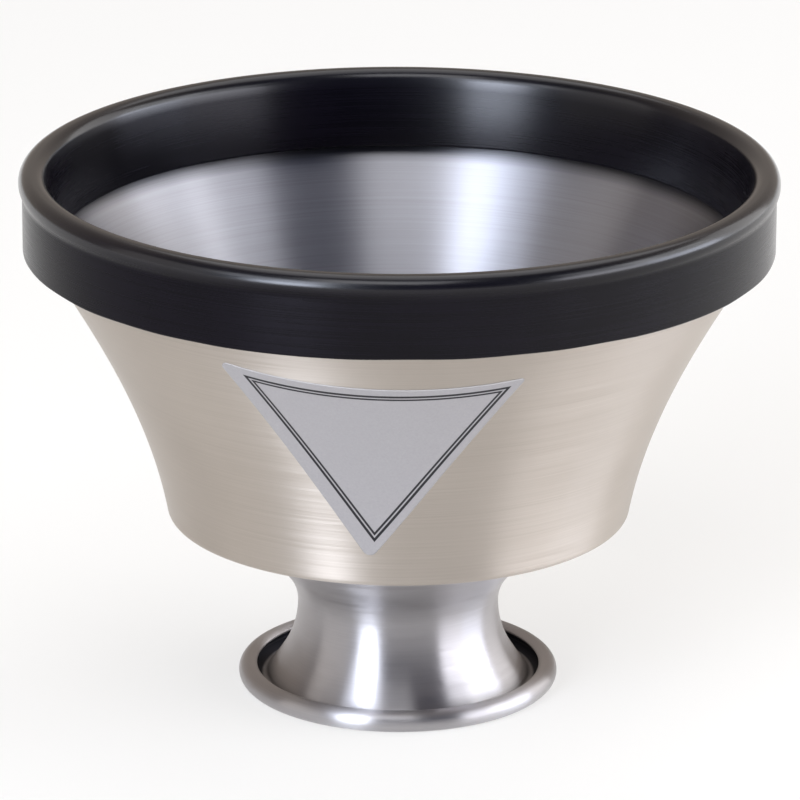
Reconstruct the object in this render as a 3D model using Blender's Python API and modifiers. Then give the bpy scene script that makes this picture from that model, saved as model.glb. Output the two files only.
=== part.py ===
"""Trumpet plunger mute: a spun aluminium bowl with a rubber rim ring, bolted to a spun spool handle.

Every turned piece is an outline in radius and height, swept round the Z axis.
Z = 0 is the plane that the handle's rolled base stands on, and -Y is the front.
"""

import math

import bmesh
import bpy
import numpy as np

MM = 0.001
PART_NAME = "plunger_mute"

# Clearances between pieces that touch on the real mute
SEAT_GAP = 0.3 * MM
THREAD_GAP = 0.2 * MM
HOLE_CLEARANCE = 0.4 * MM

# Handle: one spinning, from the crown under the bowl to the curled edge it stands on
HANDLE_SHEET = 1.0 * MM
HANDLE_HEIGHT = 30.2 * MM
HANDLE_EDGE_BREAK = 0.2 * MM
CROWN_CORNER_RADIUS = 2.5 * MM
CROWN_FLARE_ANGLE = math.radians(38.0)
WAIST_RADIUS = 17.05 * MM
WAIST_HEIGHT = 14.4 * MM
WAIST_UPPER_RADIUS = 8.7 * MM
WAIST_LOWER_RADIUS = 17.2 * MM
BASE_FLARE_ANGLE = math.radians(33.5)
TROUGH_RADIUS = 1.2 * MM
BASE_RADIUS = 27.15 * MM
CURL_RADIUS = 1.8 * MM
CURL_END_ANGLE = math.radians(144.0)

# Bowl: one spinning, from the flat floor up the flared wall to the upright rim inside the ring
BOWL_SHEET = 1.0 * MM
BOWL_DEPTH = 46.9 * MM
BOWL_CORNER_RADIUS = 1.5 * MM
BOWL_FOOT_RADIUS = 39.15 * MM
BOWL_FOOT_ANGLE = math.radians(10.4)
BOWL_FOOT_REACH = 15.9 * MM
BOWL_MOUTH_RADIUS = 59.5 * MM
BOWL_MOUTH_ANGLE = math.radians(32.6)
BOWL_MOUTH_REACH = 18.5 * MM
RIM_TURN_RADIUS = 8.0 * MM
RIM_ANGLE = math.radians(5.0)
RIM_HEIGHT = 8.8 * MM

# Rubber ring over the rim: its legs hang either side of the sheet, below a rounded lip
RING_HEIGHT = 13.8 * MM
RING_OUTER_WALL = 1.44 * MM
RING_INNER_LEG = 1.8 * MM
RING_EDGE_RADIUS = 0.4 * MM
LIP_RADIUS = 2.1 * MM
LIP_BULGE = 0.6 * MM
LIP_LAND = 0.4 * MM
LIP_FILLET_RADIUS = 1.8 * MM

# Centre fastening
SCREW_RADIUS = 2.4 * MM
SCREW_END = 1.2 * MM
SCREW_POINT_CHAMFER = 0.5 * MM
HEAD_RADIUS = 4.7 * MM
HEAD_HEIGHT = 3.1 * MM
HEAD_CROWN_RADIUS = 2.0 * MM
RECESS_WIDTH = 1.1 * MM
RECESS_LENGTH = 4.4 * MM
RECESS_DEPTH = 1.8 * MM
WASHER_RADIUS = 7.0 * MM
WASHER_THICKNESS = 1.0 * MM
LOCK_WASHER_RADIUS = 4.4 * MM
LOCK_WASHER_THICKNESS = 1.2 * MM
LOCK_WASHER_SPLIT = 0.8 * MM
LOCK_SPLIT_ANGLE = math.radians(25.0)
NUT_ACROSS_FLATS = 8.0 * MM
NUT_HEIGHT = 4.0 * MM
NUT_CHAMFER_ANGLE = math.radians(30.0)

# Facets round the axis
BOWL_STEPS = 60
HANDLE_STEPS = 44
HARDWARE_STEPS = 24

# Heights that follow from the sizes above
BOWL_FLOOR = HANDLE_HEIGHT + SEAT_GAP
RING_FLOOR = BOWL_FLOOR + BOWL_DEPTH
HOLE_RADIUS = SCREW_RADIUS + HOLE_CLEARANCE
BOWL_WASHER_FLOOR = BOWL_FLOOR + BOWL_SHEET + SEAT_GAP
HEAD_FLOOR = BOWL_WASHER_FLOOR + WASHER_THICKNESS + SEAT_GAP
HANDLE_WASHER_FLOOR = HANDLE_HEIGHT - HANDLE_SHEET - SEAT_GAP - WASHER_THICKNESS
LOCK_WASHER_FLOOR = HANDLE_WASHER_FLOOR - SEAT_GAP - LOCK_WASHER_THICKNESS
NUT_FLOOR = LOCK_WASHER_FLOOR - SEAT_GAP - NUT_HEIGHT
SCREW_TIP = NUT_FLOOR - SCREW_END


def clear_scene():
    for old in list(bpy.data.objects):
        bpy.data.objects.remove(old, do_unlink=True)


def new_collection(name):
    collection = bpy.data.collections.new(name)
    bpy.context.scene.collection.children.link(collection)
    return collection


def new_material(name, colour, roughness, metallic):
    material = bpy.data.materials.new(name)
    material.use_nodes = True
    shader = material.node_tree.nodes["Principled BSDF"]
    shader.inputs["Base Color"].default_value = (*colour, 1.0)
    shader.inputs["Roughness"].default_value = roughness
    shader.inputs["Metallic"].default_value = metallic
    material.diffuse_color = (*colour, 1.0)
    return material


def arc(centre, radius, start, end, count):
    """Points on an arc in the outline's plane, angles counted from +radius towards +height."""
    angles = np.linspace(start, end, count + 1)
    return [(centre[0] + radius * math.cos(a), centre[1] + radius * math.sin(a)) for a in angles]


def bezier(start, start_handle, end_handle, end, count):
    """Points on a cubic curve between two ends with a handle each."""
    t = np.linspace(0.0, 1.0, count + 1)[:, None]
    ends = [np.array(point) for point in (start, start_handle, end_handle, end)]
    weights = ((1 - t) ** 3, 3 * (1 - t) ** 2 * t, 3 * (1 - t) * t**2, t**3)
    return [tuple(point) for point in sum(w * p for w, p in zip(weights, ends))]


def offset(points, distance):
    """The same open outline moved sideways: to its left along its run where the distance is positive."""
    line = np.array(points)
    run = np.gradient(line, axis=0)
    run /= np.linalg.norm(run, axis=1)[:, None]
    left = np.stack([-run[:, 1], run[:, 0]], axis=1)
    return [tuple(point) for point in line + distance * left]


def joined(*stretches):
    """One outline from several stretches, with the points that two of them share kept once."""
    outline = []
    for point in (point for stretch in stretches for point in stretch):
        if not outline or math.dist(point, outline[-1]) > 1e-6:
            outline.append(point)
    return outline


def turned(name, outline, steps, closed, collection, material):
    """An object swept round the Z axis from an outline that runs down its outer side."""
    mesh = bpy.data.meshes.new(name)
    bm = bmesh.new()
    verts = [bm.verts.new((radius, 0.0, height)) for radius, height in outline]
    for first, second in zip(verts, verts[1:]):
        bm.edges.new((first, second))
    if closed:
        bm.edges.new((verts[-1], verts[0]))
    bm.to_mesh(mesh)
    bm.free()
    piece = bpy.data.objects.new(name, mesh)
    collection.objects.link(piece)
    mesh.materials.append(material)
    screw = piece.modifiers.new("turn", "SCREW")
    screw.axis = "Z"
    screw.angle = math.tau
    screw.steps = steps
    screw.render_steps = steps
    screw.use_merge_vertices = True
    screw.merge_threshold = 1e-6
    screw.use_smooth_shade = True
    return piece


def thickened(piece, thickness):
    """Turns an open swept surface into sheet metal, its thickness behind the visible side."""
    sheet = piece.modifiers.new("sheet", "SOLIDIFY")
    sheet.thickness = thickness
    sheet.offset = -1.0
    sheet.use_even_offset = True
    sheet.use_rim = True
    return piece


def edges_broken(piece, width):
    """Rounds the raw edges of a piece and leaves its smooth curves alone."""
    bevel = piece.modifiers.new("edge_break", "BEVEL")
    bevel.width = width
    bevel.segments = 2
    bevel.limit_method = "ANGLE"
    bevel.angle_limit = math.radians(60.0)
    return piece


def cut(piece, cutter, operation="DIFFERENCE"):
    modifier = piece.modifiers.new(cutter.name, "BOOLEAN")
    modifier.operation = operation
    modifier.solver = "EXACT"
    modifier.object = cutter


def kept_as_cutter(cutter):
    cutter.hide_render = True
    cutter.display_type = "WIRE"
    return cutter


def box_cutter(name, size, centre, lean, collection):
    """A cutting box of three side lengths, leant about X at its centre."""
    mesh = bpy.data.meshes.new(name)
    bm = bmesh.new()
    bmesh.ops.create_cube(bm, size=1.0)
    bmesh.ops.scale(bm, verts=bm.verts, vec=size)
    bm.to_mesh(mesh)
    bm.free()
    cutter = bpy.data.objects.new(name, mesh)
    collection.objects.link(cutter)
    cutter.location = centre
    cutter.rotation_euler = (lean, 0.0, 0.0)
    return kept_as_cutter(cutter)


def handle_outline():
    """Visible side of the handle's sheet, from the crown's hole out, down the waist and round the curl."""
    crown_centre_height = HANDLE_HEIGHT - CROWN_CORNER_RADIUS
    upper_centre = (WAIST_RADIUS + WAIST_UPPER_RADIUS, WAIST_HEIGHT)
    upper = arc(upper_centre, WAIST_UPPER_RADIUS, math.pi - CROWN_FLARE_ANGLE, math.pi, 4)
    crown_corner_end = crown_centre_height - CROWN_CORNER_RADIUS * math.sin(CROWN_FLARE_ANGLE)
    flare_reach = (crown_corner_end - upper[0][1]) * math.tan(CROWN_FLARE_ANGLE)
    crown_centre_radius = upper[0][0] + flare_reach - CROWN_CORNER_RADIUS * math.cos(CROWN_FLARE_ANGLE)
    crown_centre = (crown_centre_radius, crown_centre_height)
    crown = arc(crown_centre, CROWN_CORNER_RADIUS, math.pi / 2, -CROWN_FLARE_ANGLE, 4)

    lower_centre = (WAIST_RADIUS + WAIST_LOWER_RADIUS, WAIST_HEIGHT)
    lower = arc(lower_centre, WAIST_LOWER_RADIUS, math.pi, math.pi + BASE_FLARE_ANGLE, 4)
    trough_centre_height = HANDLE_SHEET + TROUGH_RADIUS
    trough_start = trough_centre_height - TROUGH_RADIUS * math.sin(BASE_FLARE_ANGLE)
    foot_radius = lower[-1][0] + (lower[-1][1] - trough_start) * math.tan(BASE_FLARE_ANGLE)
    trough_centre = (foot_radius + TROUGH_RADIUS * math.cos(BASE_FLARE_ANGLE), trough_centre_height)
    trough = arc(trough_centre, TROUGH_RADIUS, math.pi + BASE_FLARE_ANGLE, 1.5 * math.pi, 3)

    curl_centre = (BASE_RADIUS - CURL_RADIUS, CURL_RADIUS)
    curl = arc(curl_centre, CURL_RADIUS - HANDLE_SHEET, -math.pi / 2, CURL_END_ANGLE, 6)
    return joined([(HOLE_RADIUS, HANDLE_HEIGHT)], crown, upper, lower, trough, curl)


def rim_outline():
    """Outer side of the bowl's upright rim, from its raw top edge down to where the flared wall starts."""
    turn_centre = (
        BOWL_MOUTH_RADIUS - RIM_TURN_RADIUS * math.cos(BOWL_MOUTH_ANGLE),
        RING_FLOOR + RIM_TURN_RADIUS * math.sin(BOWL_MOUTH_ANGLE),
    )
    turn = arc(turn_centre, RIM_TURN_RADIUS, -RIM_ANGLE, -BOWL_MOUTH_ANGLE, 3)
    top = RING_FLOOR + RIM_HEIGHT
    top_radius = turn[0][0] + (top - turn[0][1]) * math.tan(RIM_ANGLE)
    return joined([(top_radius, top)], turn)


def bowl_outline():
    """Outer side of the bowl's sheet, from the rim down the wall and in along the floor."""
    mouth = (BOWL_MOUTH_RADIUS, RING_FLOOR)
    corner_centre_height = BOWL_FLOOR + BOWL_CORNER_RADIUS
    foot = (BOWL_FOOT_RADIUS, corner_centre_height - BOWL_CORNER_RADIUS * math.sin(BOWL_FOOT_ANGLE))
    mouth_handle = (
        mouth[0] - BOWL_MOUTH_REACH * math.sin(BOWL_MOUTH_ANGLE),
        mouth[1] - BOWL_MOUTH_REACH * math.cos(BOWL_MOUTH_ANGLE),
    )
    foot_handle = (
        foot[0] + BOWL_FOOT_REACH * math.sin(BOWL_FOOT_ANGLE),
        foot[1] + BOWL_FOOT_REACH * math.cos(BOWL_FOOT_ANGLE),
    )
    wall = bezier(mouth, mouth_handle, foot_handle, foot, 8)
    corner_centre = (foot[0] - BOWL_CORNER_RADIUS * math.cos(BOWL_FOOT_ANGLE), corner_centre_height)
    corner = arc(corner_centre, BOWL_CORNER_RADIUS, -BOWL_FOOT_ANGLE, -math.pi / 2, 3)
    return joined(rim_outline(), wall, corner, [(HOLE_RADIUS, BOWL_FLOOR)])


def ring_outline():
    """Closed section of the rubber ring: lip, outer wall, slot for the sheet and inner leg."""
    rim = rim_outline()
    slot_outer = offset(rim, SEAT_GAP)
    slot_inner = offset(rim, -BOWL_SHEET - SEAT_GAP)
    slot_outer[-1] = (BOWL_MOUTH_RADIUS + SEAT_GAP / math.cos(BOWL_MOUTH_ANGLE), RING_FLOOR)
    slot_top = rim[0][1] + SEAT_GAP
    slot_outer[0] = (slot_outer[0][0], slot_top)
    slot_inner[0] = (slot_inner[0][0], slot_top)

    wall_radius = slot_outer[0][0] + RING_OUTER_WALL
    lip_top = RING_FLOOR + RING_HEIGHT
    lip_centre_height = lip_top - LIP_RADIUS
    lip_outer_centre = (wall_radius + LIP_BULGE - LIP_RADIUS, lip_centre_height)
    lip_inner_centre = (lip_outer_centre[0] - LIP_LAND, lip_centre_height)

    reach = LIP_RADIUS + LIP_FILLET_RADIUS
    drop_angle = math.acos((reach - LIP_BULGE) / reach)
    fillet_centre = (wall_radius + LIP_FILLET_RADIUS, lip_centre_height - reach * math.sin(drop_angle))
    lip_outer = arc(lip_outer_centre, LIP_RADIUS, math.pi / 2, -drop_angle, 6)
    fillet = arc(fillet_centre, LIP_FILLET_RADIUS, math.pi - drop_angle, math.pi, 2)

    edge_centre = (wall_radius - RING_EDGE_RADIUS, RING_FLOOR + RING_EDGE_RADIUS)
    outer_edge = arc(edge_centre, RING_EDGE_RADIUS, 0.0, -math.pi / 2, 2)

    leg_foot = (slot_inner[-1][0] - RING_INNER_LEG, slot_inner[-1][1] + RING_EDGE_RADIUS)
    across = lip_inner_centre[0] - leg_foot[0]
    up = lip_centre_height - leg_foot[1]
    lean = math.atan2(across, up) - math.asin(LIP_RADIUS / math.hypot(across, up))
    leg_edge_centre = (leg_foot[0] + RING_EDGE_RADIUS, leg_foot[1])
    inner_edge = arc(leg_edge_centre, RING_EDGE_RADIUS, -math.pi / 2, -math.pi - lean, 2)
    lip_inner = arc(lip_inner_centre, LIP_RADIUS, math.pi - lean, math.pi / 2, 4)
    return joined(lip_outer, fillet, outer_edge, slot_outer[::-1], slot_inner, inner_edge, lip_inner)


def washer(name, radius, thickness, floor, collection, material):
    top = floor + thickness
    section = [(HOLE_RADIUS, top), (radius, top), (radius, floor), (HOLE_RADIUS, floor)]
    return turned(name, section, HARDWARE_STEPS, True, collection, material)


def clamp_screw(collection, cutters, material):
    """Pan head with a cross recess, on a plain shank that passes through the nut."""
    head_top = HEAD_FLOOR + HEAD_HEIGHT
    crown_centre = (HEAD_RADIUS - HEAD_CROWN_RADIUS, head_top - HEAD_CROWN_RADIUS)
    head = arc(crown_centre, HEAD_CROWN_RADIUS, math.pi / 2, 0.0, 4)
    shank = [
        (HEAD_RADIUS, HEAD_FLOOR),
        (SCREW_RADIUS, HEAD_FLOOR),
        (SCREW_RADIUS, SCREW_TIP + SCREW_POINT_CHAMFER),
        (SCREW_RADIUS - SCREW_POINT_CHAMFER, SCREW_TIP),
        (0.0, SCREW_TIP),
    ]
    outline = joined([(0.0, head_top)], head, shank)
    screw = turned("clamp_screw", outline, HARDWARE_STEPS, False, collection, material)
    for name, size in (
        ("recess_across", (RECESS_LENGTH, RECESS_WIDTH, 2 * RECESS_DEPTH)),
        ("recess_along", (RECESS_WIDTH, RECESS_LENGTH, 2 * RECESS_DEPTH)),
    ):
        cut(screw, box_cutter(name, size, (0.0, 0.0, head_top), 0.0, cutters))


def lock_washer(collection, cutters, material):
    """A spring washer: a flat ring split by one slanting cut."""
    ring = washer(
        "lock_washer", LOCK_WASHER_RADIUS, LOCK_WASHER_THICKNESS, LOCK_WASHER_FLOOR, collection, material
    )
    middle = (LOCK_WASHER_RADIUS, 0.0, LOCK_WASHER_FLOOR + LOCK_WASHER_THICKNESS / 2)
    size = (2 * LOCK_WASHER_RADIUS, LOCK_WASHER_SPLIT, 4 * LOCK_WASHER_THICKNESS)
    cut(ring, box_cutter("lock_split", size, middle, LOCK_SPLIT_ANGLE, cutters))


def hex_nut(collection, cutters, material):
    """A six-sided block whose corners are turned off by a double cone, with a plain bore."""
    mesh = bpy.data.meshes.new("hex_nut")
    bm = bmesh.new()
    corner_radius = NUT_ACROSS_FLATS / 2 / math.cos(math.pi / 6)
    bmesh.ops.create_cone(
        bm, cap_ends=True, segments=6, radius1=corner_radius, radius2=corner_radius, depth=NUT_HEIGHT
    )
    bmesh.ops.translate(bm, verts=bm.verts, vec=(0.0, 0.0, NUT_FLOOR + NUT_HEIGHT / 2))
    bm.to_mesh(mesh)
    bm.free()
    nut = bpy.data.objects.new("hex_nut", mesh)
    collection.objects.link(nut)
    mesh.materials.append(material)

    rise = NUT_HEIGHT / 2
    end_radius = NUT_ACROSS_FLATS / 2
    waist = end_radius + rise / math.tan(NUT_CHAMFER_ANGLE)
    bore = SCREW_RADIUS + THREAD_GAP
    section = [
        (bore, NUT_FLOOR + NUT_HEIGHT),
        (end_radius, NUT_FLOOR + NUT_HEIGHT),
        (waist, NUT_FLOOR + rise),
        (end_radius, NUT_FLOOR),
        (bore, NUT_FLOOR),
    ]
    turning = kept_as_cutter(turned("nut_turning", section, HARDWARE_STEPS, True, cutters, material))
    cut(nut, turning, "INTERSECT")


def build():
    clear_scene()
    parts = new_collection(PART_NAME)
    cutters = new_collection(PART_NAME + "_cutters")

    satin_aluminium = new_material("satin_aluminium", (0.60, 0.58, 0.55), 0.34, 1.0)
    polished_aluminium = new_material("polished_aluminium", (0.66, 0.65, 0.64), 0.22, 1.0)
    black_rubber = new_material("black_rubber", (0.014, 0.013, 0.018), 0.38, 0.0)
    plated_screw = new_material("plated_screw", (0.60, 0.60, 0.60), 0.30, 1.0)
    plated_washer = new_material("plated_washer", (0.55, 0.55, 0.56), 0.38, 1.0)
    spring_steel = new_material("spring_steel", (0.30, 0.30, 0.31), 0.45, 1.0)
    plated_nut = new_material("plated_nut", (0.58, 0.58, 0.58), 0.33, 1.0)

    handle = turned("handle", handle_outline(), HANDLE_STEPS, False, parts, polished_aluminium)
    edges_broken(thickened(handle, HANDLE_SHEET), HANDLE_EDGE_BREAK)
    bowl = turned("bowl", bowl_outline(), BOWL_STEPS, False, parts, satin_aluminium)
    thickened(bowl, BOWL_SHEET)
    turned("rim_ring", ring_outline(), BOWL_STEPS, True, parts, black_rubber)

    washer("bowl_washer", WASHER_RADIUS, WASHER_THICKNESS, BOWL_WASHER_FLOOR, parts, plated_washer)
    washer("handle_washer", WASHER_RADIUS, WASHER_THICKNESS, HANDLE_WASHER_FLOOR, parts, plated_washer)
    lock_washer(parts, cutters, spring_steel)
    hex_nut(parts, cutters, plated_nut)
    clamp_screw(parts, cutters, plated_screw)

    for piece in parts.objects:
        piece.data.shade_smooth()
        piece.data.set_sharp_from_angle(angle=math.radians(35.0))


build()
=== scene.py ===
"""How the plunger mute looks: its turned pieces at full fineness, its finishes, its blank label and a plain studio.

Outlines are in millimetres, as pairs of radius and height above the base. The front is at -Y.
"""

from math import acos, asin, atan2, cos, hypot, pi, radians, sin, tan

import bpy
import numpy as np
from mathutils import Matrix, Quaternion, Vector


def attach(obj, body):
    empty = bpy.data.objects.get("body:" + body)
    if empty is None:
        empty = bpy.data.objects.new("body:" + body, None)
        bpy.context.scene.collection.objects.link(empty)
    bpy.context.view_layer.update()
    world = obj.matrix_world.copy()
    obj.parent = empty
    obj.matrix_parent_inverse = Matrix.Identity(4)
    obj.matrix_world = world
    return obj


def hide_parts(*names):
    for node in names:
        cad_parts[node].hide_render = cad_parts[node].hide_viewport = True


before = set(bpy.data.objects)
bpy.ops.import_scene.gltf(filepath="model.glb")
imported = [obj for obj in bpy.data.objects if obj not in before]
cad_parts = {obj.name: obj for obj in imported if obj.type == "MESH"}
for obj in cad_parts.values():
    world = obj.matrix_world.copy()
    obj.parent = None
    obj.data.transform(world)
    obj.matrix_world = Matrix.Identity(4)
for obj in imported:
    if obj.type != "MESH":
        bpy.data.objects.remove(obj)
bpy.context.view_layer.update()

# The bowl: one disc of 1 mm aluminium spun over a former into a flared cup, then brushed while it turns.
# Its flat floor is bolted to the handle, and its upright rim is hidden in the rubber ring.
BOWL_FLOOR = 30.5
BOWL_DEPTH = 46.9
BOWL_SHEET = 1.0
BOLT_HOLE = 2.8
FOOT_RADIUS = 39.15
FOOT_ANGLE = radians(10.4)
FOOT_REACH = 15.9
FOOT_CORNER = 1.5
MOUTH_RADIUS = 59.5
MOUTH_HEIGHT = BOWL_FLOOR + BOWL_DEPTH
MOUTH_ANGLE = radians(32.6)
MOUTH_REACH = 18.5
RIM_TURN = 8.0
RIM_ANGLE = radians(5.0)
RIM_HEIGHT = 8.8


def arc(centre, radius, start, end, count):
    """Points at the centre plus radius times (cos a, sin a), the angle a running evenly from start to end."""
    a = np.linspace(start, end, count + 1)
    return np.stack([centre[0] + radius * np.cos(a), centre[1] + radius * np.sin(a)], axis=1)


def straight(start, end, count):
    """Evenly spaced points from start to end."""
    return np.linspace(start, end, count + 1)


def bezier(start, start_handle, end_handle, end, count):
    """Points of the cubic curve whose weights are (1-t)^3, 3(1-t)^2 t, 3(1-t)t^2 and t^3."""
    t = np.linspace(0.0, 1.0, count + 1)[:, None]
    ends = [np.array(point) for point in (start, start_handle, end_handle, end)]
    weights = ((1 - t) ** 3, 3 * (1 - t) ** 2 * t, 3 * (1 - t) * t**2, t**3)
    return sum(w * p for w, p in zip(weights, ends))


def chained(*stretches):
    """One line from several stretches, without the points that two of them share."""
    line = np.concatenate([np.atleast_2d(stretch) for stretch in stretches])
    step = np.linalg.norm(np.diff(line, axis=0), axis=1)
    return line[np.concatenate([[True], step > 1e-4])]


def sideways(line, distance):
    """Each point moved by the distance along the line's left normal, the mean of its two segments' normals."""
    run = np.diff(line, axis=0)
    run /= np.linalg.norm(run, axis=1)[:, None]
    run = np.concatenate([run[:1], run[:-1] + run[1:], run[-1:]])
    run /= np.linalg.norm(run, axis=1)[:, None]
    return line + distance * np.stack([-run[:, 1], run[:, 0]], axis=1)


def sheet_section(line, thickness, edge=0.2):
    """Closed section of sheet metal behind a visible line, each raw end closed by a shallow half ellipse."""
    back = sideways(line, -thickness)
    swell = np.linspace(0.0, pi, 9)[1:-1, None]
    caps = []
    for near, far, beyond in ((line[-1], back[-1], line[-1] - line[-2]), (back[0], line[0], line[0] - line[1])):
        out = beyond / np.linalg.norm(beyond)
        caps.append((near + far) / 2 + (near - far) / 2 * np.cos(swell) + edge * out * np.sin(swell))
    return chained(line, caps[0], back[::-1], caps[1])


def turned(name, section, around, waver=None):
    """A closed section swept round Z: the point (r, h) at angle a lands at (r sin a, -r cos a, h).

    waver(a, r, h) may add small amounts to r and h, as hand work leaves them.
    """
    angle = np.linspace(0.0, 2 * pi, around, endpoint=False)[:, None]
    radius = np.broadcast_to(section[:, 0], (around, len(section)))
    height = np.broadcast_to(section[:, 1], (around, len(section)))
    if waver is not None:
        add_radius, add_height = waver(angle, radius, height)
        radius = radius + add_radius
        height = height + add_height
    points = np.stack([radius * np.sin(angle), -radius * np.cos(angle), height], axis=2).reshape(-1, 3)
    column = np.arange(around)[:, None] * len(section)
    next_column = np.roll(column, -1, axis=0)
    row = np.arange(len(section))[None, :]
    next_row = np.roll(row, -1, axis=1)
    corners = (column + row, column + next_row, next_column + next_row, next_column + row)
    faces = np.stack([np.broadcast_to(c, (around, len(section))) for c in corners], axis=2).reshape(-1, 4)
    following = np.roll(section, -1, axis=0)
    area = np.sum(section[:, 0] * following[:, 1] - following[:, 0] * section[:, 1])
    if area > 0:
        faces = faces[:, ::-1]
    return surface(name, points, faces)


def surface(name, points, faces):
    """A smooth mesh object at the origin from points in millimetres, its hard corners kept crisp."""
    mesh = bpy.data.meshes.new(name)
    mesh.from_pydata((points * 0.001).tolist(), [], faces.tolist())
    mesh.validate()
    mesh.shade_smooth()
    mesh.set_sharp_from_angle(angle=radians(38.0))
    piece = bpy.data.objects.new(name, mesh)
    bpy.context.scene.collection.objects.link(piece)
    return piece


def rim_line(steps):
    """Outer side of the upright rim, from its raw top edge down to where the flared wall starts."""
    turn_centre = (MOUTH_RADIUS - RIM_TURN * cos(MOUTH_ANGLE), MOUTH_HEIGHT + RIM_TURN * sin(MOUTH_ANGLE))
    turn = arc(turn_centre, RIM_TURN, -RIM_ANGLE, -MOUTH_ANGLE, steps)
    top = MOUTH_HEIGHT + RIM_HEIGHT
    return chained([(turn[0][0] + (top - turn[0][1]) * tan(RIM_ANGLE), top)], turn)


def wall_line(count):
    """Outer side of the flared wall, from the mouth down to the foot's corner."""
    mouth = np.array([MOUTH_RADIUS, MOUTH_HEIGHT])
    foot = np.array([FOOT_RADIUS, BOWL_FLOOR + FOOT_CORNER * (1 - sin(FOOT_ANGLE))])
    mouth_handle = mouth - MOUTH_REACH * np.array([sin(MOUTH_ANGLE), cos(MOUTH_ANGLE)])
    foot_handle = foot + FOOT_REACH * np.array([sin(FOOT_ANGLE), cos(FOOT_ANGLE)])
    return bezier(mouth, mouth_handle, foot_handle, foot, count)


corner_centre = (FOOT_RADIUS - FOOT_CORNER * cos(FOOT_ANGLE), BOWL_FLOOR + FOOT_CORNER)
foot_corner = arc(corner_centre, FOOT_CORNER, -FOOT_ANGLE, -pi / 2, 10)
floor_line = straight((corner_centre[0], BOWL_FLOOR), (BOLT_HOLE, BOWL_FLOOR), 12)
bowl = turned("spun_bowl", sheet_section(chained(rim_line(8), wall_line(60), foot_corner, floor_line), BOWL_SHEET), 320)


def node_group(name, inputs, outputs):
    """A shader node group with its sockets, and its two end nodes."""
    group = bpy.data.node_groups.new(name, "ShaderNodeTree")
    for label, kind, value in inputs:
        socket = group.interface.new_socket(label, in_out="INPUT", socket_type=kind)
        if value is not None:
            socket.default_value = value
    for label, kind in outputs:
        group.interface.new_socket(label, in_out="OUTPUT", socket_type=kind)
    return group, group.nodes.new("NodeGroupInput"), group.nodes.new("NodeGroupOutput")


def add_node(tree, kind, settings=None, **inputs):
    """A node with its settings, each input given as a value or as the socket that feeds it."""
    node = tree.nodes.new(kind)
    for key, value in (settings or {}).items():
        setattr(node, key, value)
    for key, value in inputs.items():
        socket = node.inputs[int(key[1:])] if key[0] == "i" and key[1:].isdigit() else node.inputs[key.replace("_", " ")]
        if isinstance(value, bpy.types.NodeSocket):
            tree.links.new(value, socket)
        else:
            socket.default_value = value
    return node


def maths(tree, operation, first, second=None, third=None):
    """A Math node's result."""
    given = {f"i{n}": v for n, v in enumerate((first, second, third)) if v is not None}
    return add_node(tree, "ShaderNodeMath", {"operation": operation}, **given).outputs[0]


def blended(tree, fraction, first, second):
    """A mix of two colours by a fraction."""
    mix = add_node(tree, "ShaderNodeMix", {"data_type": "RGBA"}, i0=fraction)
    for socket, value in ((mix.inputs[6], first), (mix.inputs[7], second)):
        if isinstance(value, bpy.types.NodeSocket):
            tree.links.new(value, socket)
        else:
            socket.default_value = (*value, 1.0)
    return mix.outputs[2]


def lathe_lines_group():
    """Fine lines round the Z axis, as a lathe leaves them: noise of four numbers, which are the radius and the
    height in fine steps and the direction's cosine and sine in long ones, so that each line slowly fades."""
    group, start, end = node_group(
        "lathe_lines",
        [
            ("Lines per Millimetre", "NodeSocketFloat", 3.0),
            ("Length Share", "NodeSocketFloat", 2.0),
            ("Patch Size", "NodeSocketFloat", 40.0),
        ],
        [("Lines", "NodeSocketFloat"), ("Patches", "NodeSocketFloat")],
    )
    place = group.nodes.new("ShaderNodeTexCoord").outputs["Object"]
    axes = add_node(group, "ShaderNodeSeparateXYZ", Vector=place)
    across = add_node(group, "ShaderNodeCombineXYZ", X=axes.outputs[0], Y=axes.outputs[1])
    radius = add_node(group, "ShaderNodeVectorMath", {"operation": "LENGTH"}, i0=across.outputs[0]).outputs["Value"]
    direction = add_node(group, "ShaderNodeVectorMath", {"operation": "NORMALIZE"}, i0=across.outputs[0]).outputs[0]
    round_way = add_node(group, "ShaderNodeVectorMath", {"operation": "SCALE"}, i0=direction)
    group.links.new(start.outputs["Length Share"], round_way.inputs["Scale"])
    along = add_node(group, "ShaderNodeSeparateXYZ", Vector=round_way.outputs[0])
    fine = maths(group, "MULTIPLY", start.outputs["Lines per Millimetre"], 1000.0)
    up_line = maths(group, "MULTIPLY", axes.outputs[2], fine)
    out_line = maths(group, "MULTIPLY", radius, fine)
    spot = add_node(group, "ShaderNodeCombineXYZ", X=out_line, Y=up_line, Z=along.outputs[0])
    noise = {"noise_dimensions": "4D"}
    lines = add_node(group, "ShaderNodeTexNoise", noise, Vector=spot.outputs[0], W=along.outputs[1], Scale=1.0, Detail=2.0)
    patches = add_node(group, "ShaderNodeTexNoise", Vector=place, Scale=start.outputs["Patch Size"], Detail=4.0)
    group.links.new(lines.outputs[0], end.inputs["Lines"])
    group.links.new(patches.outputs[0], end.inputs["Patches"])
    return group


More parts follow.
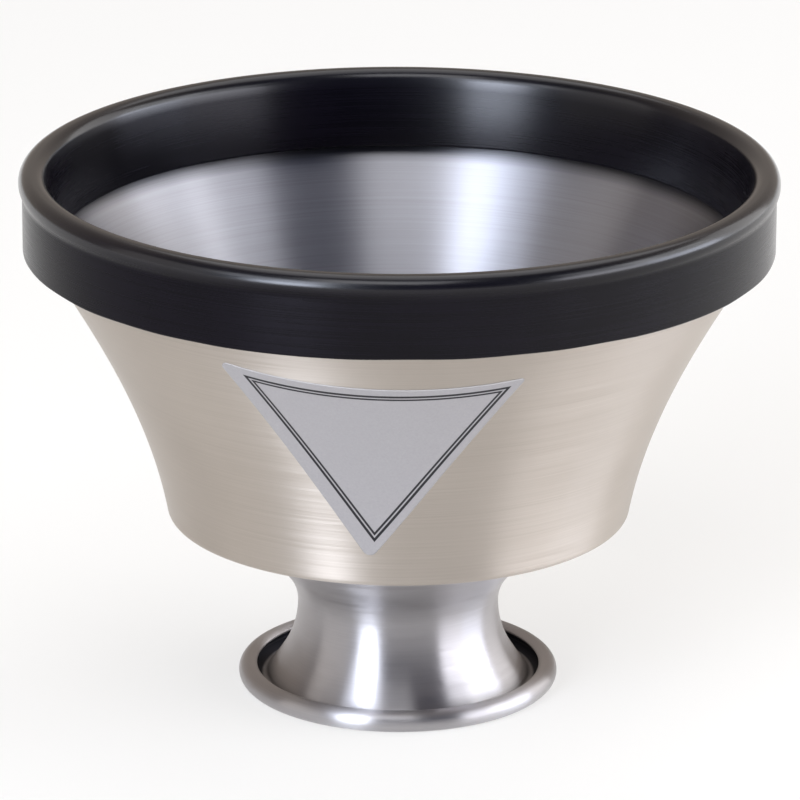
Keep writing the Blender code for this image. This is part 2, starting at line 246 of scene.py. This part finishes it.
def outer_side_group():
    """1 where a turned piece faces away from the Z axis or down, 0 where it faces the axis or up: the normal
    times the outward direction less Z, held between 0 and 1 over a narrow band."""
    group, start, end = node_group("outer_side", [], [("Outer", "NodeSocketFloat")])
    place = group.nodes.new("ShaderNodeTexCoord")
    level = add_node(group, "ShaderNodeVectorMath", {"operation": "MULTIPLY"}, i0=place.outputs["Object"], i1=(1.0, 1.0, 0.0))
    outward = add_node(group, "ShaderNodeVectorMath", {"operation": "NORMALIZE"}, i0=level.outputs[0])
    slanted = add_node(group, "ShaderNodeVectorMath", {"operation": "SUBTRACT"}, i0=outward.outputs[0], i1=(0.0, 0.0, 1.0))
    share = add_node(group, "ShaderNodeVectorMath", {"operation": "DOT_PRODUCT"}, i0=slanted.outputs[0], i1=place.outputs["Normal"])
    group.links.new(ramp(group, share.outputs["Value"], -0.1, 0.1, 0.0, 1.0), end.inputs["Outer"])
    return group


def placed_group(tree, group, **values):
    """A group node in a material, with its own values."""
    node = tree.nodes.new("ShaderNodeGroup")
    node.node_tree = group
    for label, value in values.items():
        node.inputs[label.replace("_", " ")].default_value = value
    return node


def new_finish(name):
    """A material with node tree and its Principled shader."""
    material = bpy.data.materials.new(name)
    material.use_nodes = True
    return material, material.node_tree, material.node_tree.nodes["Principled BSDF"]


def ramp(tree, value, low, high, to_low, to_high):
    """The value mapped from low..high to to_low..to_high, and held at the ends."""
    node = add_node(tree, "ShaderNodeMapRange", {"clamp": True}, Value=value)
    for label, number in (("From Min", low), ("From Max", high), ("To Min", to_low), ("To Max", to_high)):
        node.inputs[label].default_value = number
    return node.outputs[0]


def painted_gap_shade(tree, gap, colour, roughness):
    """Painted shade: a bluish near-black colour, with rougher metal, inside a ring whose section is an ellipse, given
    by its middle and its half axes.
    """
    middle, half_axes = gap
    place = add_node(tree, "ShaderNodeSeparateXYZ", Vector=tree.nodes.new("ShaderNodeTexCoord").outputs["Object"])
    radius = maths(tree, "SQRT", maths(tree, "MULTIPLY_ADD", place.outputs[0], place.outputs[0], maths(tree, "POWER", place.outputs[1], 2.0)))
    across = maths(tree, "MULTIPLY_ADD", radius, 1000.0 / half_axes[0], -middle[0] / half_axes[0])
    up = maths(tree, "MULTIPLY_ADD", place.outputs[2], 1000.0 / half_axes[1], -middle[1] / half_axes[1])
    reach = maths(tree, "MULTIPLY_ADD", across, across, maths(tree, "MULTIPLY", up, up))
    inside = ramp(tree, reach, 0.85, 1.15, 1.0, 0.0)
    # Painted shade in the gap: inside the ring the colour goes to a bluish near-black, and the roughness rises by 0.3.
    return blended(tree, inside, colour, (0.042, 0.042, 0.056)), maths(tree, "MULTIPLY_ADD", inside, 0.3, roughness)


def spun_metal(name, light, dark, smooth, rough, lines_per_mm, depth, along, inner=None, gap=None):
    """Turned aluminium: colour and roughness follow the lathe's lines and slow patches, gloss spreads across the lines.

    The inner tint is a painted reflection, darker and bluer, that goes where the normal points to the axis or up, with
    painted shade in a strip just under the ring; the gap is a ring of painted shade, where the metal is also rougher.
    """
    material, tree, shader = new_finish(name)
    lathe = placed_group(tree, lathe_lines, Lines_per_Millimetre=lines_per_mm, Length_Share=1.6, Patch_Size=28.0)
    lines, patches = lathe.outputs["Lines"], lathe.outputs["Patches"]
    mixed = maths(tree, "MULTIPLY_ADD", patches, 0.45, maths(tree, "MULTIPLY", lines, 0.55))
    colour = blended(tree, ramp(tree, mixed, 0.36, 0.64, 0.0, 1.0), dark, light)
    if inner is not None:
        # Painted reflection on the inside: its colour is multiplied by the inner tint, a darker and bluer one.
        painted_inside_reflection = add_node(tree, "ShaderNodeMix", {"data_type": "RGBA", "blend_type": "MULTIPLY"}, i0=1.0)
        tree.links.new(colour, painted_inside_reflection.inputs[6])
        height = add_node(tree, "ShaderNodeSeparateXYZ", Vector=tree.nodes.new("ShaderNodeTexCoord").outputs["Object"]).outputs[2]
        # Painted shade and reflection of the ring: the inside's colour falls to 0.35 of the inner tint in a strip just
        # below the mouth.
        painted_ring_shade = ramp(tree, height, 0.001 * MOUTH_HEIGHT - 0.0022, 0.001 * MOUTH_HEIGHT - 0.0004, 0.0, 1.0)
        tree.links.new(blended(tree, painted_ring_shade, inner, tuple(0.35 * c for c in inner)), painted_inside_reflection.inputs[7])
        outer = placed_group(tree, outer_side).outputs["Outer"]
        colour = blended(tree, outer, painted_inside_reflection.outputs[2], colour)
        inner_rough = ramp(tree, lines, 0.40, 0.60, smooth, smooth + 0.3 * (rough - smooth))
        outer_rough = ramp(tree, lines, 0.40, 0.60, smooth, rough)
        roughness = add_node(tree, "ShaderNodeMix", {"data_type": "FLOAT"}, i0=outer, i2=inner_rough, i3=outer_rough).outputs[0]
        relief = maths(tree, "MULTIPLY", lines, ramp(tree, outer, 0.0, 1.0, 0.1, 1.0))
    else:
        roughness = ramp(tree, lines, 0.40, 0.60, smooth, rough)
        relief = lines
    if gap is not None:
        colour, roughness = painted_gap_shade(tree, gap, colour, roughness)
    tree.links.new(colour, shader.inputs["Base Color"])
    tree.links.new(roughness, shader.inputs["Roughness"])
    bump = add_node(tree, "ShaderNodeBump", Height=relief, Distance=0.001, Strength=depth)
    tree.links.new(bump.outputs[0], shader.inputs["Normal"])
    tangent = add_node(tree, "ShaderNodeTangent", {"direction_type": "RADIAL", "axis": "Z"})
    tree.links.new(tangent.outputs[0], shader.inputs["Tangent"])
    shader.inputs["Metallic"].default_value = 1.0
    shader.inputs["Anisotropic"].default_value = along
    shader.inputs["Anisotropic Rotation"].default_value = 0.25
    return material


lathe_lines = lathe_lines_group()
outer_side = outer_side_group()
# The last colour is the inner tint, a painted reflection that makes the bowl's inside darker and bluer.
bowl.data.materials.append(
    spun_metal("brushed_bowl_aluminium", (0.532, 0.480, 0.431), (0.456, 0.407, 0.361), 0.375, 0.440, 4.5, 0.0015, 0.91, (0.750, 0.823, 0.99))
)
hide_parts("bowl")
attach(bowl, "root")

# The rubber ring: moulded black rubber, pushed over the bowl's upright rim in a slot.
# A rounded lip on top seals against the bell, and the lower edge is trimmed with a knife.
RING_GAP = 0.3
RING_HEIGHT = 13.8
OUTER_WALL = 1.44
INNER_LEG = 1.8
LEG_EDGE = 0.4
LIP_RADIUS = 2.1
LIP_BULGE = 0.6
LIP_LAND = 0.4
LIP_FILLET = 1.8
TRIM_WAVER = 0.09
LIP_MIDDLE = 0.001 * (MOUTH_HEIGHT + RING_HEIGHT - LIP_RADIUS)


def ring_section():
    """Lip, outer wall, slot for the sheet and inner leg, as one closed line."""
    rim = rim_line(8)
    slot_outer = sideways(rim, RING_GAP)
    slot_inner = sideways(rim, -BOWL_SHEET - RING_GAP)
    slot_outer[-1] = (MOUTH_RADIUS + RING_GAP / cos(MOUTH_ANGLE), MOUTH_HEIGHT)
    slot_top = rim[0][1] + RING_GAP
    slot_outer[0][1] = slot_top
    slot_inner[0][1] = slot_top

    wall_radius = slot_outer[0][0] + OUTER_WALL
    lip_height = MOUTH_HEIGHT + RING_HEIGHT - LIP_RADIUS
    lip_outer = (wall_radius + LIP_BULGE - LIP_RADIUS, lip_height)
    lip_inner = (lip_outer[0] - LIP_LAND, lip_height)
    reach = LIP_RADIUS + LIP_FILLET
    drop = acos((reach - LIP_BULGE) / reach)
    fillet_centre = (wall_radius + LIP_FILLET, lip_height - reach * sin(drop))
    edge_centre = (wall_radius - LEG_EDGE, MOUTH_HEIGHT + LEG_EDGE)
    leg_foot = (slot_inner[-1][0] - INNER_LEG, slot_inner[-1][1] + LEG_EDGE)
    across = lip_inner[0] - leg_foot[0]
    up = lip_height - leg_foot[1]
    lean = atan2(across, up) - asin(LIP_RADIUS / hypot(across, up))
    return chained(
        arc(lip_outer, LIP_RADIUS, pi / 2, -drop, 24),
        arc(fillet_centre, LIP_FILLET, pi - drop, pi, 8),
        arc(edge_centre, LEG_EDGE, 0.0, -pi / 2, 6),
        slot_outer[::-1],
        slot_inner,
        arc((leg_foot[0] + LEG_EDGE, leg_foot[1]), LEG_EDGE, -pi / 2, -pi - lean, 6),
        arc(lip_inner, LIP_RADIUS, pi - lean, pi / 2, 16),
    )


def trimmed(angle, radius, height):
    """Lowers and lifts the lower edge by a few sine waves round the ring, fading out above it."""
    low = np.clip(1.0 - (height - MOUTH_HEIGHT) / 1.5, 0.0, 1.0)
    wave = np.sin(5 * angle + 0.4) + 0.7 * np.sin(11 * angle + 2.1) + 0.5 * np.sin(23 * angle + 1.0)
    return 0.0, TRIM_WAVER * low * np.maximum(wave, -0.6)


ring = turned("rubber_ring", ring_section(), 320, trimmed)
rubber, tree, shader = new_finish("moulded_black_rubber")
lathe = placed_group(tree, lathe_lines, Lines_per_Millimetre=4.0, Length_Share=2.0, Patch_Size=60.0)
worn = maths(tree, "MULTIPLY_ADD", lathe.outputs["Patches"], 0.5, maths(tree, "MULTIPLY", lathe.outputs["Lines"], 0.5))
tree.links.new(blended(tree, ramp(tree, worn, 0.40, 0.66, 0.0, 1.0), (0.0008, 0.0005, 0.0016), (0.0026, 0.0018, 0.0044)), shader.inputs["Base Color"])
place = add_node(tree, "ShaderNodeSeparateXYZ", Vector=tree.nodes.new("ShaderNodeTexCoord").outputs["Object"])
below_lip = ramp(tree, place.outputs[2], LIP_MIDDLE - 0.001, LIP_MIDDLE + 0.0005, 1.0, 0.0)
ground = ramp(tree, below_lip, 0.0, 1.0, 0.17, 0.27)
tree.links.new(maths(tree, "ADD", ground, ramp(tree, worn, 0.38, 0.62, -0.04, 0.04)), shader.inputs["Roughness"])
inner_gloss = ramp(tree, place.outputs[0], -0.045, 0.005, 0.08, 0.42)
outer_gloss = ramp(tree, place.outputs[0], -0.050, 0.050, 0.0, 0.30)
outer = placed_group(tree, outer_side).outputs["Outer"]
wall_gloss = add_node(tree, "ShaderNodeMix", {"data_type": "FLOAT"}, i0=outer, i2=inner_gloss, i3=outer_gloss).outputs[0]
gloss = add_node(tree, "ShaderNodeMix", {"data_type": "FLOAT"}, i0=below_lip, i2=0.80, i3=wall_gloss).outputs[0]
tree.links.new(gloss, shader.inputs["Coat Weight"])
shader.inputs["Coat Roughness"].default_value = 0.26
shader.inputs["Specular IOR Level"].default_value = 0.09
shader.inputs["Specular Tint"].default_value = (0.94, 0.89, 1.0, 1.0)
bump = add_node(tree, "ShaderNodeBump", Height=lathe.outputs["Lines"], Distance=0.001, Strength=0.012)
tree.links.new(bump.outputs[0], shader.inputs["Normal"])
tangent = add_node(tree, "ShaderNodeTangent", {"direction_type": "RADIAL", "axis": "Z"})
tree.links.new(tangent.outputs[0], shader.inputs["Tangent"])
shader.inputs["Anisotropic"].default_value = 0.75
shader.inputs["Anisotropic Rotation"].default_value = 0.25
ring.data.materials.append(rubber)
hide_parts("rim_ring")
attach(ring, "root")

# The handle: aluminium spun into a spool with a waist for two fingers, open underneath.
# Its base ends in a tight rolled curl, which it stands on, and it is polished more than the bowl.
HANDLE_HEIGHT = 30.2
HANDLE_SHEET = 1.0
CROWN_CORNER = 2.5
CROWN_FLARE = radians(38.0)
WAIST_RADIUS = 17.05
WAIST_HEIGHT = 14.4
UPPER_WAIST = 8.7
LOWER_WAIST = 17.2
BASE_FLARE = radians(33.5)
TROUGH_RADIUS = 1.2
BASE_RADIUS = 27.15
CURL_RADIUS = 1.8
CURL_END = radians(138.0)
# The gap between the flare and the curl, where the handle's finish paints shade.
GAP_MIDDLE = (24.4, 1.75)
GAP_HALF_AXES = (2.1, 0.95)


def handle_line():
    """Visible side of the sheet, from the bolt hole out over the crown, down the waist and round the curl."""
    upper = arc((WAIST_RADIUS + UPPER_WAIST, WAIST_HEIGHT), UPPER_WAIST, pi - CROWN_FLARE, pi, 20)
    corner_height = HANDLE_HEIGHT - CROWN_CORNER
    flare_top = corner_height - CROWN_CORNER * sin(CROWN_FLARE)
    flare_reach = (flare_top - upper[0][1]) * tan(CROWN_FLARE)
    corner_radius = upper[0][0] + flare_reach - CROWN_CORNER * cos(CROWN_FLARE)
    crown = arc((corner_radius, corner_height), CROWN_CORNER, pi / 2, -CROWN_FLARE, 20)
    lower = arc((WAIST_RADIUS + LOWER_WAIST, WAIST_HEIGHT), LOWER_WAIST, pi, pi + BASE_FLARE, 24)
    trough_height = HANDLE_SHEET + TROUGH_RADIUS
    trough_start = trough_height - TROUGH_RADIUS * sin(BASE_FLARE)
    foot = lower[-1][0] + (lower[-1][1] - trough_start) * tan(BASE_FLARE)
    trough = arc((foot + TROUGH_RADIUS * cos(BASE_FLARE), trough_height), TROUGH_RADIUS, pi + BASE_FLARE, 1.5 * pi, 12)
    curl = arc((BASE_RADIUS - CURL_RADIUS, CURL_RADIUS), CURL_RADIUS - HANDLE_SHEET, -pi / 2, CURL_END, 22)
    crown_top = straight((BOLT_HOLE, HANDLE_HEIGHT), (corner_radius, HANDLE_HEIGHT), 8)
    return chained(crown_top, crown, upper, lower, trough, curl)


handle = turned("spun_handle", sheet_section(handle_line(), HANDLE_SHEET), 288)
handle.data.materials.append(
    spun_metal("polished_handle_aluminium", (0.474, 0.458, 0.469), (0.420, 0.405, 0.417), 0.330, 0.405, 5.0, 0.0015, 0.965, gap=(GAP_MIDDLE, GAP_HALF_AXES))
)
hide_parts("handle")
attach(handle, "root")


# The fastening: a zinc plated pan head screw, two flat washers and a nut, and a dark spring washer.
# It is hidden from the front: the head shows inside the bowl, and the nut from below.
def plated(name, light, dark, smooth, rough):
    """Plated steel: a cloudy tint and fine scratches in every direction."""
    material, tree, shader = new_finish(name)
    place = tree.nodes.new("ShaderNodeTexCoord").outputs["Object"]
    cloud = add_node(tree, "ShaderNodeTexNoise", Vector=place, Scale=260.0, Detail=5.0).outputs[0]
    scratch = add_node(tree, "ShaderNodeTexNoise", Vector=place, Scale=2400.0, Detail=2.0).outputs[0]
    tree.links.new(blended(tree, ramp(tree, cloud, 0.38, 0.62, 0.0, 1.0), dark, light), shader.inputs["Base Color"])
    tree.links.new(ramp(tree, cloud, 0.35, 0.65, smooth, rough), shader.inputs["Roughness"])
    bump = add_node(tree, "ShaderNodeBump", Height=scratch, Distance=0.001, Strength=0.03)
    tree.links.new(bump.outputs[0], shader.inputs["Normal"])
    shader.inputs["Metallic"].default_value = 1.0
    return material


zinc = plated("zinc_plate", (0.64, 0.64, 0.66), (0.50, 0.51, 0.54), 0.22, 0.36)
spring = plated("oiled_spring_steel", (0.32, 0.31, 0.30), (0.22, 0.21, 0.21), 0.34, 0.48)
for node, finish in (
    ("clamp_screw", zinc),
    ("bowl_washer", zinc),
    ("handle_washer", zinc),
    ("lock_washer", spring),
    ("hex_nut", zinc),
):
    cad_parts[node].data.materials.clear()
    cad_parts[node].data.materials.append(finish)

# The label: a triangle of matt foil stuck to the bowl's front, with a printed double line inside its edge.
# Its corners are given on the unrolled cone that lies closest to the wall, so that its straight top sags.
LABEL_CORNERS = ((-29.85, -8.52, 1.05), (-4.59, -46.42, 1.20), (20.64, -8.93, 0.55))
PRINTED_CORNERS = ((-24.90, -10.43), (-3.85, -42.34), (17.62, -10.45))
PRINTED_LINES = ((0.0, 0.46), (0.68, 0.38))
# Width of the painted highlight along the label's top edge, in millimetres.
EDGE_HIGHLIGHT_BAND = 0.16
LABEL_THICKNESS = 0.10
LABEL_BEVEL = 0.10
LABEL_LIFT = 0.02
CONE_APEX = 143.17
CONE_SLOPE = radians(23.73)


def rounded_triangle(inset, per_corner, per_side):
    """Points round the triangle with its sides moved in by the inset: arcs at the corners, straight sides between."""
    corners = np.array(LABEL_CORNERS)[:, :2]
    radii = np.array(LABEL_CORNERS)[:, 2] - inset
    to_before = np.roll(corners, 1, axis=0) - corners
    to_after = np.roll(corners, -1, axis=0) - corners
    to_before /= np.linalg.norm(to_before, axis=1)[:, None]
    to_after /= np.linalg.norm(to_after, axis=1)[:, None]
    half = np.arccos(np.sum(to_before * to_after, axis=1)) / 2
    inward = to_before + to_after
    inward /= np.linalg.norm(inward, axis=1)[:, None]
    centres = corners + inward * ((radii + inset) / np.sin(half))[:, None]
    outline = []
    for n in range(3):
        first = np.arctan2(-inward[n][1], -inward[n][0])
        spread = pi / 2 - half[n]
        outline.append(arc(centres[n], radii[n], first - spread, first + spread, per_corner))
    sides = [straight(outline[n][-1], outline[(n + 1) % 3][0], per_side)[1:-1] for n in range(3)]
    return np.concatenate([stretch for pair in zip(outline, sides) for stretch in pair])


def on_the_wall(flat, lift):
    """A flat point laid on the bowl: polar about the cone's apex, then out along the wall's normal."""
    line = wall_line(400)
    slant = np.concatenate([[0.0], np.cumsum(np.linalg.norm(np.diff(line, axis=0), axis=1))])
    down = CONE_APEX - np.hypot(flat[:, 0], flat[:, 1] + CONE_APEX)
    turn = np.arctan2(flat[:, 0], flat[:, 1] + CONE_APEX) / sin(CONE_SLOPE)
    normal = sideways(line, 1.0) - line
    spot = [np.interp(down, slant, line[:, k]) + lift * np.interp(down, slant, normal[:, k]) for k in (0, 1)]
    return np.stack([spot[0] * np.sin(turn), -spot[0] * np.cos(turn), spot[1]], axis=1)


def foil_label():
    """Two layers of rings shrunk evenly to the middle, the upper one bevelled, sewn together round the edge."""
    rim = rounded_triangle(0.0, 8, 40)
    crest = rounded_triangle(LABEL_BEVEL, 8, 40)
    middle = crest.mean(axis=0)
    shares = np.linspace(0.0, 1.0, 26)[:-1]
    shrunk = [crest + (middle - crest) * share for share in shares]
    count = len(rim)
    layers = [(ring, LABEL_LIFT + LABEL_THICKNESS) for ring in shrunk[::-1]]
    layers += [(rim, LABEL_LIFT + LABEL_THICKNESS * 0.4), (rim, LABEL_LIFT)] + [(ring, LABEL_LIFT) for ring in shrunk]
    flat = np.concatenate([ring for ring, lift in layers] + [middle[None, :], middle[None, :]])
    lift = np.concatenate([np.full(count, lift) for ring, lift in layers] + [[LABEL_LIFT + LABEL_THICKNESS], [LABEL_LIFT]])
    k = np.arange(count)
    nxt = np.roll(k, -1)
    faces = []
    for n in range(len(layers) - 1):
        a, b = n * count, (n + 1) * count
        faces += np.stack([a + k, b + k, b + nxt, a + nxt], axis=1).tolist()
    last, peak = (len(layers) - 1) * count, len(layers) * count
    faces += np.stack([k, nxt, np.full(count, peak)], axis=1).tolist()
    faces += np.stack([last + nxt, last + k, np.full(count, peak + 1)], axis=1).tolist()
    return on_the_wall(flat, lift), faces, flat


def label_mesh():
    """The label's object, with each point's place on the flat foil kept in millimetres."""
    points, faces, flat = foil_label()
    mesh = bpy.data.meshes.new("foil_label")
    mesh.from_pydata((points * 0.001).tolist(), [], faces)
    mesh.shade_smooth()
    mesh.set_sharp_from_angle(angle=radians(28.0))
    unrolled = np.column_stack([flat, np.zeros(len(flat))]).astype(np.float32)
    mesh.attributes.new("unrolled", "FLOAT_VECTOR", "POINT").data.foreach_set("vector", unrolled.ravel())
    piece = bpy.data.objects.new("foil_label", mesh)
    bpy.context.scene.collection.objects.link(piece)
    return piece


label = label_mesh()
foil, tree, shader = new_finish("printed_matt_foil")
unrolled = add_node(tree, "ShaderNodeAttribute", {"attribute_name": "unrolled"}).outputs["Vector"]


def from_side(tree, spot, first, second):
    """Distance of a flat spot from the line through two corners, inward."""
    run = (second - first) / np.linalg.norm(second - first)
    inward = (-run[1], run[0], 0.0)
    along = add_node(tree, "ShaderNodeVectorMath", {"operation": "DOT_PRODUCT"}, i0=spot, i1=inward).outputs["Value"]
    return maths(tree, "SUBTRACT", along, float(first @ np.array(inward[:2])))


printed = np.array(PRINTED_CORNERS)
inside = None
for n in range(3):
    distance = from_side(tree, unrolled, printed[n], printed[(n + 1) % 3])
    inside = distance if inside is None else maths(tree, "MINIMUM", inside, distance)
corners = np.array(LABEL_CORNERS)[:, :2]
# Painted highlight along the label's top edge: within a narrow band of that edge the foil is lighter.
painted_edge_highlight = ramp(tree, from_side(tree, unrolled, corners[2], corners[0]), EDGE_HIGHLIGHT_BAND - 0.06, EDGE_HIGHLIGHT_BAND + 0.06, 1.0, 0.0)
ink = 0.0
for step, width in PRINTED_LINES:
    away = maths(tree, "ABSOLUTE", maths(tree, "SUBTRACT", inside, step))
    ink = maths(tree, "MAXIMUM", ink, ramp(tree, away, width / 2 - 0.03, width / 2 + 0.03, 1.0, 0.0))
place = tree.nodes.new("ShaderNodeTexCoord").outputs["Object"]
grain = add_node(tree, "ShaderNodeTexNoise", Vector=place, Scale=2600.0, Detail=2.0).outputs[0]
foil_colour = blended(tree, ramp(tree, grain, 0.30, 0.70, 0.0, 1.0), (0.338, 0.326, 0.334), (0.370, 0.357, 0.364))
# The painted highlight's lighter colour.
foil_colour = blended(tree, painted_edge_highlight, foil_colour, (0.46, 0.445, 0.445))
tree.links.new(blended(tree, ink, foil_colour, (0.006, 0.005, 0.008)), shader.inputs["Base Color"])
shader.inputs["Specular IOR Level"].default_value = 0.35
tree.links.new(ramp(tree, ink, 0.0, 1.0, 0.45, 0.0), shader.inputs["Metallic"])
tree.links.new(ramp(tree, grain, 0.35, 0.65, 0.46, 0.54), shader.inputs["Roughness"])
bump = add_node(tree, "ShaderNodeBump", Height=grain, Distance=0.001, Strength=0.02)
tree.links.new(bump.outputs[0], shader.inputs["Normal"])
label.data.materials.append(foil)
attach(label, "root")

# The studio: a wide pale table that shows white to the camera and keeps the mute's shadow, a room that is warm grey
# behind and dim blue in front,
# and eleven soft lamps: four on the left of the camera, five on the right and two overhead.
TABLE_SIZE = 30.0
table_mesh = bpy.data.meshes.new("table")
half = TABLE_SIZE / 2
table_mesh.from_pydata([(-half, -half, 0.0), (half, -half, 0.0), (half, half, 0.0), (-half, half, 0.0)], [], [(0, 1, 2, 3)])
table = bpy.data.objects.new("table", table_mesh)
bpy.context.scene.collection.objects.link(table)
paper = bpy.data.materials.new("white_paper")
paper.use_nodes = True
tree = paper.node_tree
tree.nodes.clear()
matt = add_node(tree, "ShaderNodeBsdfDiffuse", Color=(0.88, 0.85, 0.80, 1.0))
glow = add_node(tree, "ShaderNodeEmission", Color=(1.0, 1.0, 1.0, 1.0), Strength=1.0)
clear = tree.nodes.new("ShaderNodeBsdfTransparent")
rays = tree.nodes.new("ShaderNodeLightPath")
seen = maths(tree, "MAXIMUM", rays.outputs["Is Camera Ray"], maths(tree, "MAXIMUM", rays.outputs["Is Glossy Ray"], rays.outputs["Is Transmission Ray"]))
place = add_node(tree, "ShaderNodeVectorMath", {"operation": "LENGTH"}, i0=tree.nodes.new("ShaderNodeTexCoord").outputs["Object"])
share = ramp(tree, place.outputs["Value"], 0.45, 1.2, 0.56, 1.0)
white = add_node(tree, "ShaderNodeMixShader", i0=maths(tree, "MULTIPLY", seen, share), i1=matt.outputs[0], i2=glow.outputs[0])
below = tree.nodes.new("ShaderNodeNewGeometry").outputs["Backfacing"]
shown = add_node(tree, "ShaderNodeMixShader", i0=below, i1=white.outputs[0], i2=clear.outputs[0])
out = tree.nodes.new("ShaderNodeOutputMaterial")
tree.links.new(shown.outputs[0], out.inputs["Surface"])
table_mesh.materials.append(paper)

LAMPS = (
    ("left_low_box", -33.0, 9.0, 1.5, 0.55, 0.56, 11.5, (0.80, 0.87, 1.00)),
    ("left_high_box", -37.0, 33.7, 1.5, 0.85, 0.62, 5.5, (0.86, 0.91, 1.00)),
    ("left_core", -31.0, 19.0, 1.45, 0.36, 1.00, 7.3, (0.80, 0.88, 1.00)),
    ("left_side_box", -74.0, 20.0, 1.5, 1.00, 1.20, 3.1, (1.00, 0.955, 0.885)),
    ("right_front_low_box", 61.0, 5.0, 1.5, 0.80, 0.60, 8.4, (0.92, 0.93, 1.00)),
    ("right_front_high_box", 68.0, 27.0, 1.5, 0.80, 0.60, 3.8, (0.95, 0.97, 1.00)),
    ("right_low_box", 92.0, 5.0, 1.5, 0.80, 0.60, 11.0, (0.83, 0.88, 1.00)),
    ("right_high_box", 92.0, 27.0, 1.5, 0.80, 0.60, 4.2, (0.96, 0.98, 1.00)),
    ("right_back_box", 123.0, 16.0, 1.5, 0.80, 1.20, 4.7, (0.98, 0.99, 1.00)),
    ("top_box", 170.0, 68.0, 1.6, 1.40, 1.40, 8.4, (0.95, 0.97, 1.00)),
    ("front_top_box", -8.0, 58.0, 1.6, 0.88, 0.70, 6.8, (0.98, 0.99, 1.00)),
)
for name, azimuth, elevation, distance, width, height, power, colour in LAMPS:
    lamp = bpy.data.lights.new(name, "AREA")
    lamp.shape = "RECTANGLE"
    lamp.size = width
    lamp.size_y = height
    lamp.energy = power
    lamp.color = colour
    holder = bpy.data.objects.new(name, lamp)
    a, e = radians(azimuth), radians(elevation)
    way = Vector((sin(a) * cos(e), -cos(a) * cos(e), sin(e)))
    holder.location = way * distance + Vector((0.0, 0.0, 0.05))
    holder.rotation_euler = way.to_track_quat("Z", "Y").to_euler()
    bpy.context.scene.collection.objects.link(holder)

room = bpy.data.worlds.new("grey_room")
room.use_nodes = True
way = room.node_tree.nodes.new("ShaderNodeTexCoord").outputs["Generated"]
axes = add_node(room.node_tree, "ShaderNodeSeparateXYZ", Vector=way)
front = ramp(room.node_tree, axes.outputs[1], -0.3, 0.4, 1.0, 0.0)
grey = blended(room.node_tree, front, (0.42, 0.37, 0.33), (0.060, 0.070, 0.115))
room.node_tree.links.new(grey, room.node_tree.nodes["Background"].inputs["Color"])
room.node_tree.nodes["Background"].inputs["Strength"].default_value = 1.0
bpy.context.scene.world = room

# The camera, at the photograph's angle: about 1.08 m away and 18.4 degrees above the table.
CAMERA_DISTANCE = 1.083
CAMERA_RISE = radians(18.426)
CAMERA_ROLL = radians(0.2)
TARGET = Vector((0.0, 0.0, 0.0500))
camera = bpy.data.cameras.new("camera")
camera.lens = 288.9
camera.sensor_width = 36.0
camera.shift_x = 0.00156
camera.clip_start = 0.05
camera.clip_end = 20.0
camera_holder = bpy.data.objects.new("camera", camera)
back = Vector((0.0, -cos(CAMERA_RISE), sin(CAMERA_RISE)))
camera_holder.location = TARGET + back * CAMERA_DISTANCE
level = back.to_track_quat("Z", "Y")
camera_holder.rotation_euler = (level @ Quaternion((0.0, 0.0, 1.0), CAMERA_ROLL)).to_euler()
bpy.context.scene.collection.objects.link(camera_holder)
bpy.context.scene.camera = camera_holder
bpy.context.scene.view_settings.view_transform = "Standard"
